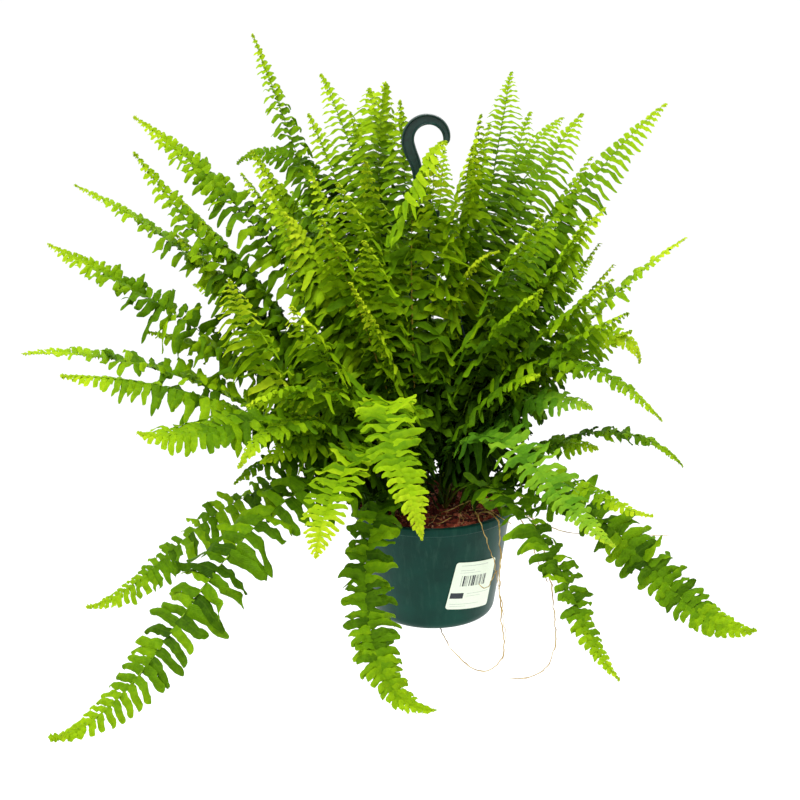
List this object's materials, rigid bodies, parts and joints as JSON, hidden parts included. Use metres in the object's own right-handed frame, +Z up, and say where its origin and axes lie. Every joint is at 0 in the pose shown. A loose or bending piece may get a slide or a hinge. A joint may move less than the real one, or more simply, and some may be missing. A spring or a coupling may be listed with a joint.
{
  "type": "potted fern",
  "caption": "Sword fern with arching fronds of narrow leaflets in a round plastic hanging pot, with a moulded hook, hanger strands, soil and trailing runners.",
  "frame": {"origin": "saddle of the hook, the point inside its crook that the plant hangs from, on the pot's axis", "axes": "+Z up along the pot's axis, -Y towards the viewer of the picture, +X to the viewer's right"},
  "size_m": [0.7959, 0.7486, 0.7559],
  "materials": {
    "pot": "moulded plastic, soft gloss, dark blue-green",
    "soil": "loose red-brown fibrous potting mix",
    "hanger": "moulded plastic, dark green",
    "label": "off-white paper sticker",
    "runner": "wiry pale plant runner",
    "leaf": "living leaf, satin, light to mid green"
  },
  "bodies": {
    "root": {"pot": "pot", "soil": "soil", "hook": "hanger", "strand_1": "hanger", "strand_2": "hanger", "strand_3": "hanger", "label": "label", "runner_1": "runner", "runner_2": "runner", "runner_3": "runner", "frond_01": "leaf", "frond_02": "leaf", "frond_03": "leaf", "frond_04": "leaf", "frond_05": "leaf", "frond_06": "leaf", "frond_07": "leaf", "frond_08": "leaf", "frond_09": "leaf", "frond_10": "leaf", "frond_11": "leaf", "frond_12": "leaf", "frond_13": "leaf", "frond_14": "leaf", "frond_15": "leaf", "frond_16": "leaf", "frond_17": "leaf", "frond_18": "leaf", "frond_19": "leaf", "frond_20": "leaf", "frond_21": "leaf", "frond_22": "leaf", "frond_23": "leaf", "frond_24": "leaf", "frond_25": "leaf", "frond_26": "leaf", "frond_27": "leaf", "frond_28": "leaf", "frond_29": "leaf", "frond_30": "leaf", "frond_31": "leaf", "frond_32": "leaf", "frond_33": "leaf", "frond_34": "leaf", "frond_35": "leaf", "frond_36": "leaf", "frond_37": "leaf", "frond_38": "leaf", "frond_39": "leaf", "frond_40": "leaf", "frond_41": "leaf", "frond_42": "leaf", "frond_43": "leaf", "frond_44": "leaf", "frond_45": "leaf", "frond_46": "leaf", "frond_47": "leaf", "frond_48": "leaf", "frond_49": "leaf", "frond_50": "leaf"}
  },
  "joints": []
}
